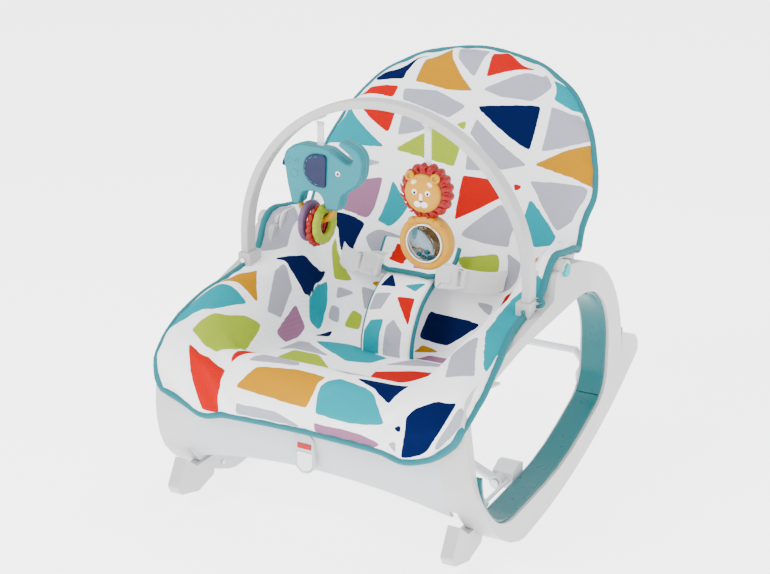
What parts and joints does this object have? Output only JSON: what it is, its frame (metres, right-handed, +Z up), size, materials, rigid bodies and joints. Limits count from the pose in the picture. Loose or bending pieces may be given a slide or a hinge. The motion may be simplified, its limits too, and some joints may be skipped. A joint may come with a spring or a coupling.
{
  "type": "bouncer seat",
  "caption": "Rocking infant seat: curved side rails, front panel with soothing unit, reclining padded back, padded seat with restraint, fold-down kickstand and a toy bar with hanging toys.",
  "frame": {"origin": "on the floor, in the middle of the footprint", "axes": "+Z up, +X to the right of a viewer who faces the seat, the seat faces -Y"},
  "size_m": [0.456, 0.526, 0.5251],
  "materials": {
    "white_plastic": "satin moulded plastic",
    "panel_plastic": "satin moulded plastic, cooler white",
    "teal_plastic": "satin moulded plastic",
    "aqua_plastic": "soft satin plastic",
    "navy_plastic": "satin plastic",
    "mustard_plastic": "gloss plastic",
    "red_plastic": "gloss plastic",
    "lime_plastic": "textured plastic",
    "purple_plastic": "textured plastic",
    "grey_steel": "grey powder-coated tube",
    "zinc_steel": "zinc-plated screws",
    "grey_rubber": "matt rubber",
    "teal_rubber": "soft rubber",
    "motor_steel": "motor can",
    "battery_wrap": "printed film sleeve, plain",
    "print_cloth": "printed microfibre with coloured patches, padded",
    "white_webbing": "woven webbing",
    "clear_plastic": "clear dome"
  },
  "bodies": {
    "base": {"rail_shell_right": "white_plastic", "rail_shell_left": "white_plastic", "rail_cover_right": "panel_plastic", "rail_cover_left": "panel_plastic", "rail_liner_right": "teal_plastic", "rail_liner_left": "teal_plastic", "rear_bumpers": "teal_rubber", "rail_screws": "zinc_steel", "front_foot_right": "white_plastic", "front_foot_left": "white_plastic", "front_panel": "panel_plastic", "soother_case": "panel_plastic", "vibration_motor": "motor_steel", "label_plate": "red_plastic", "seat_pan": "panel_plastic", "front_stretcher": "grey_steel", "stretcher_brackets": "panel_plastic", "stretcher_bolts": "zinc_steel", "kickstand_pins": "zinc_steel", "pivot_housing_right": "white_plastic", "pivot_housing_left": "white_plastic", "lower_back_pad": "print_cloth", "seat_cushion": "print_cloth", "seat_bolster_right": "print_cloth", "seat_bolster_left": "print_cloth", "crotch_pad": "print_cloth", "waist_belts": "white_webbing", "belt_buckles": "white_plastic", "toy_bar_socket_right": "white_plastic", "toy_bar_socket_left": "white_plastic", "toy_bar_screws": "zinc_steel"},
    "seat_back": {"back_arm_right": "panel_plastic", "back_arm_left": "panel_plastic", "back_frame_tube": "grey_steel", "back_cross_tube": "grey_steel", "backrest_pad": "print_cloth"},
    "kickstand": {"kickstand_tube": "grey_steel", "kickstand_hubs": "panel_plastic", "kickstand_feet": "grey_rubber"},
    "power_key": {"power_button": "panel_plastic"},
    "battery_hatch": {"battery_door": "panel_plastic"},
    "battery": {"battery_cell": "battery_wrap"},
    "spinner": {"motor_weight": "motor_steel"},
    "recline_key_right": {"recline_button_right": "teal_plastic"},
    "recline_key_left": {"recline_button_left": "teal_plastic"},
    "toy_bar": {"toy_bar_arch": "white_plastic", "strap_anchors": "white_webbing"},
    "elephant_hanger": {"elephant_strap": "white_webbing"},
    "elephant": {"elephant_body": "aqua_plastic", "elephant_ear": "navy_plastic", "ring_loop": "mustard_plastic"},
    "purple_teether": {"purple_ring": "purple_plastic"},
    "red_teether": {"red_ring": "red_plastic"},
    "green_teether": {"green_ring": "lime_plastic"},
    "lion_hanger": {"lion_strap": "white_webbing"},
    "lion": {"lion_mane": "red_plastic", "lion_face": "mustard_plastic", "lion_ring": "mustard_plastic", "rattle_window": "clear_plastic"},
    "beads": {"rattle_beads": "aqua_plastic"}
  },
  "joints": [
    {"name": "seat_back_recline", "type": "hinge", "parent": "base", "child": "seat_back", "pos_m": [0, 0.01, 0.305], "axis": [1, 0, 0], "range_deg": [-15, 0]},
    {"name": "kickstand_fold", "type": "hinge", "parent": "base", "child": "kickstand", "pos_m": [0, 0.188, 0.092], "axis": [1, 0, 0], "range_deg": [-70, 0]},
    {"name": "power_button_press", "type": "slide", "parent": "base", "child": "power_key", "axis": [0, 1, 0], "range_m": [0, 0.0015], "stiffness_N_per_m": 600},
    {"name": "battery_door_lift", "type": "slide", "parent": "base", "child": "battery_hatch", "axis": [0, 0, -1], "range_m": [0, 0.05]},
    {"name": "battery_removal", "type": "slide", "parent": "battery_hatch", "child": "battery", "axis": [0, 0, 1], "range_m": [0, 0.03]},
    {"name": "motor_weight_spin", "type": "hinge", "parent": "base", "child": "spinner", "pos_m": [0.03, -0.207, 0.125], "axis": [1, 0, 0], "continuous": true},
    {"name": "recline_button_right_press", "type": "slide", "parent": "base", "child": "recline_key_right", "axis": [-1, 0, 0], "range_m": [0, 0.004], "stiffness_N_per_m": 500},
    {"name": "recline_button_left_press", "type": "slide", "parent": "base", "child": "recline_key_left", "axis": [1, 0, 0], "range_m": [0, 0.004], "stiffness_N_per_m": 500},
    {"name": "toy_bar_lift_off", "type": "slide", "parent": "base", "child": "toy_bar", "axis": [0, 0, 1], "range_m": [0, 0.06]},
    {"name": "elephant_swing", "type": "hinge", "parent": "toy_bar", "child": "elephant_hanger", "pos_m": [-0.087, -0.057, 0.4677], "axis": [1, 0, 0], "range_deg": [-35, 35]},
    {"name": "elephant_tilt", "type": "hinge", "parent": "elephant_hanger", "child": "elephant", "pos_m": [-0.087, -0.057, 0.433], "axis": [0, 1, 0], "range_deg": [-12, 12]},
    {"name": "purple_ring_swing", "type": "hinge", "parent": "elephant", "child": "purple_teether", "pos_m": [-0.104, -0.057, 0.34413], "axis": [1, 0, 0], "range_deg": [-30, 30]},
    {"name": "red_ring_swing", "type": "hinge", "parent": "elephant", "child": "red_teether", "pos_m": [-0.093, -0.057, 0.34151], "axis": [1, 0, 0], "range_deg": [-30, 30]},
    {"name": "green_ring_swing", "type": "hinge", "parent": "elephant", "child": "green_teether", "pos_m": [-0.083, -0.057, 0.34326], "axis": [1, 0, 0], "range_deg": [-30, 30]},
    {"name": "lion_swing", "type": "hinge", "parent": "toy_bar", "child": "lion_hanger", "pos_m": [0.062, -0.057, 0.47912], "axis": [1, 0, 0], "range_deg": [-35, 35]},
    {"name": "lion_tilt", "type": "hinge", "parent": "lion_hanger", "child": "lion", "pos_m": [0.062, -0.057, 0.429], "axis": [0, 1, 0], "range_deg": [-15, 15]},
    {"name": "beads_tumble", "type": "hinge", "parent": "lion", "child": "beads", "pos_m": [0.062, -0.057, 0.337], "axis": [0, 1, 0], "continuous": true}
  ]
}
